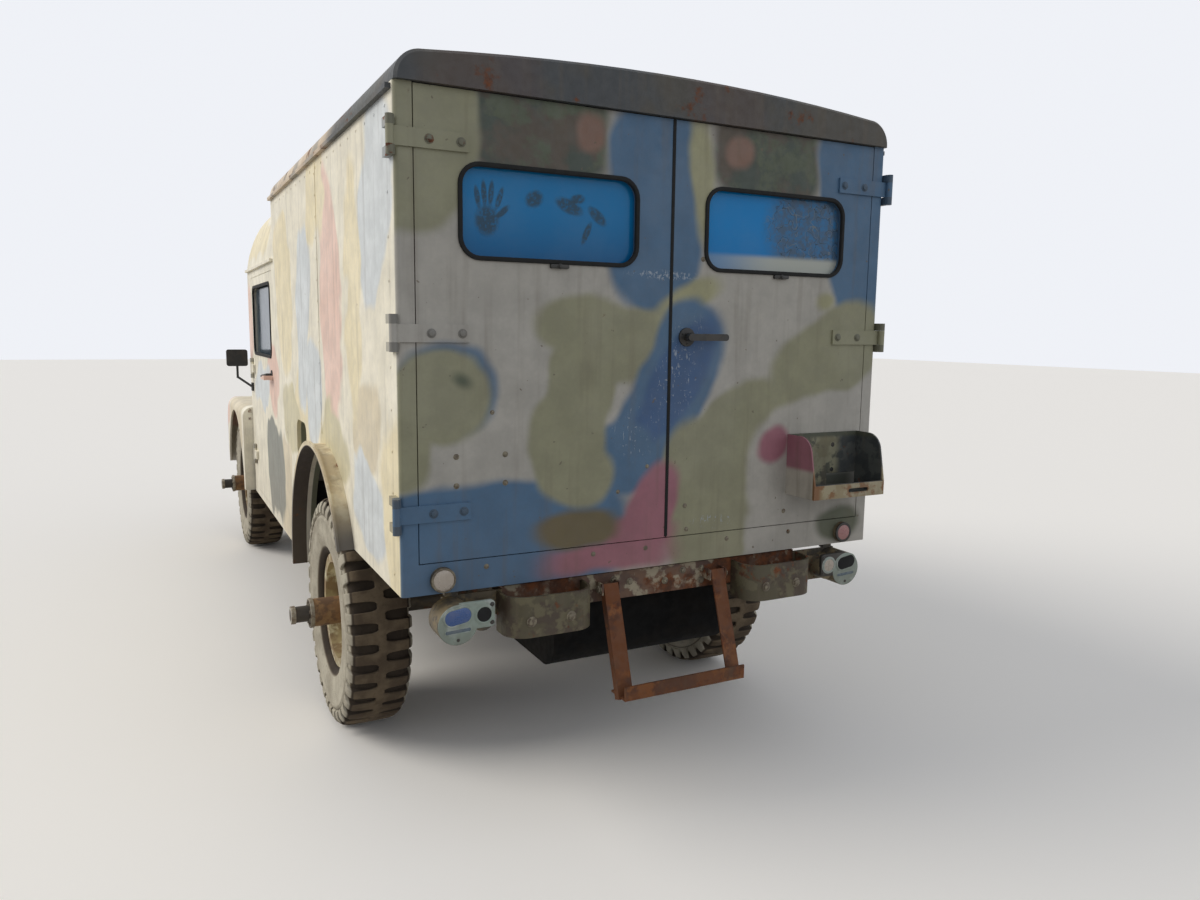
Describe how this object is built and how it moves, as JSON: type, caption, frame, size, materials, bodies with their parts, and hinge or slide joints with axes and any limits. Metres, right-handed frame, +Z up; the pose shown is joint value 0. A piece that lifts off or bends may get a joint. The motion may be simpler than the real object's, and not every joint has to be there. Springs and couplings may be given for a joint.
{
  "type": "military ambulance truck",
  "caption": "Light military ambulance truck with a steel box body, cab doors, twin rear doors, folding rear step, can carrier and lugged tyres, in worn multicolour paint.",
  "frame": {"origin": "on the ground, at the middle of the bounding box's length and width", "axes": "+X to the truck's right, +Y forward, +Z up"},
  "size_m": [2.075, 5.16, 2.3211],
  "materials": {
    "chassis": "matte",
    "exhaust_steel": "matte",
    "body_paint": "matte",
    "inner_paint": "matte",
    "glass": "gloss",
    "seat_cover": "matte",
    "black_paint": "satin",
    "hinge_steel": "matte",
    "lamp_glass": "gloss",
    "lamp_body": "satin",
    "rusty_steel": "matte",
    "rubber": "matte",
    "wheel_paint": "matte"
  },
  "bodies": {
    "truck": {"frame": "chassis", "rear_bumperettes": "body_paint", "front_bumper": "chassis", "rear_axle": "chassis", "front_axle": "chassis", "leaf_springs": "chassis", "engine_block": "chassis", "transfer_case": "chassis", "propshafts": "chassis", "radiator": "chassis", "fuel_tank": "chassis", "exhaust": "exhaust_steel", "body_sides": "body_paint", "fuel_filler": "body_paint", "rear_frame": "body_paint", "roof": "body_paint", "cab_roof": "body_paint", "floor": "inner_paint", "wheel_housings": "inner_paint", "arch_flares": "body_paint", "cowl": "body_paint", "windscreen_glass": "glass", "front_fenders": "body_paint", "hood_sides": "body_paint", "grille": "body_paint", "head_lamps": "lamp_glass", "partition": "inner_paint", "benches": "inner_paint", "seat_boxes": "inner_paint", "seats": "seat_cover", "dashboard": "inner_paint", "steering_wheel": "black_paint", "mirrors": "black_paint", "door_hinges": "hinge_steel", "tail_lamps": "lamp_body"},
    "hood": {"hood": "body_paint"},
    "cab_door_left": {"cab_door_left": "body_paint", "cab_door_glass_left": "glass"},
    "cab_door_right": {"cab_door_right": "body_paint", "cab_door_glass_right": "glass"},
    "rear_door_left": {"rear_door_left": "body_paint", "rear_door_glass_left": "glass"},
    "rear_door_right": {"rear_door_right": "body_paint", "rear_door_glass_right": "glass", "rear_door_handle": "black_paint", "can_carrier": "body_paint"},
    "rear_step": {"rear_step": "rusty_steel"},
    "steering_left": {"knuckle_left": "chassis"},
    "steering_right": {"knuckle_right": "chassis"},
    "tie_rod": {"tie_rod": "chassis"},
    "wheel_front_left": {"tyre_front_left": "rubber", "wheel_front_left": "wheel_paint"},
    "wheel_front_right": {"tyre_front_right": "rubber", "wheel_front_right": "wheel_paint"},
    "wheel_rear_left": {"tyre_rear_left": "rubber", "wheel_rear_left": "wheel_paint"},
    "wheel_rear_right": {"tyre_rear_right": "rubber", "wheel_rear_right": "wheel_paint"}
  },
  "joints": [
    {"name": "hood_lift", "type": "hinge", "parent": "truck", "child": "hood", "pos_m": [0, 1.332, 1.338], "axis": [1, 0, 0], "range_deg": [0, 55]},
    {"name": "cab_door_left_swing", "type": "hinge", "parent": "truck", "child": "cab_door_left", "pos_m": [-0.886, 1.07, 1], "axis": [0, 0, -1], "range_deg": [0, 70]},
    {"name": "cab_door_right_swing", "type": "hinge", "parent": "truck", "child": "cab_door_right", "pos_m": [0.886, 1.07, 1], "axis": [0, 0, 1], "range_deg": [0, 70]},
    {"name": "rear_door_left_swing", "type": "hinge", "parent": "truck", "child": "rear_door_left", "pos_m": [-0.889, -2.444, 1.5], "axis": [0, 0, -1], "range_deg": [0, 110]},
    {"name": "rear_door_right_swing", "type": "hinge", "parent": "truck", "child": "rear_door_right", "pos_m": [0.889, -2.444, 1.5], "axis": [0, 0, 1], "range_deg": [0, 110]},
    {"name": "rear_step_fold", "type": "hinge", "parent": "truck", "child": "rear_step", "pos_m": [0, -2.43, 0.735], "axis": [-1, 0, 0], "range_deg": [0, 60]},
    {"name": "steer_left", "type": "hinge", "parent": "truck", "child": "steering_left", "pos_m": [-0.64, 1.82, 0.445], "axis": [0, 0, 1], "range_deg": [-28, 28]},
    {"name": "steer_right", "type": "hinge", "parent": "truck", "child": "steering_right", "pos_m": [0.64, 1.82, 0.445], "axis": [0, 0, 1], "range_deg": [-28, 28]},
    {"name": "tie_rod_pivot", "type": "hinge", "parent": "steering_left", "child": "tie_rod", "pos_m": [-0.64, 1.64, 0.325], "axis": [0, 0, 1], "range_deg": [-28, 28]},
    {"name": "front_left_spin", "type": "hinge", "parent": "steering_left", "child": "wheel_front_left", "pos_m": [-0.7875, 1.82, 0.445], "axis": [1, 0, 0], "continuous": true},
    {"name": "front_right_spin", "type": "hinge", "parent": "steering_right", "child": "wheel_front_right", "pos_m": [0.7875, 1.82, 0.445], "axis": [1, 0, 0], "continuous": true},
    {"name": "rear_left_spin", "type": "hinge", "parent": "truck", "child": "wheel_rear_left", "pos_m": [-0.7875, -1.38, 0.445], "axis": [1, 0, 0], "continuous": true},
    {"name": "rear_right_spin", "type": "hinge", "parent": "truck", "child": "wheel_rear_right", "pos_m": [0.7875, -1.38, 0.445], "axis": [1, 0, 0], "continuous": true}
  ],
  "couplings": [
    {"joint": "steer_right", "follows": "steer_left", "ratio": 1},
    {"joint": "tie_rod_pivot", "follows": "steer_left", "ratio": -1}
  ]
}
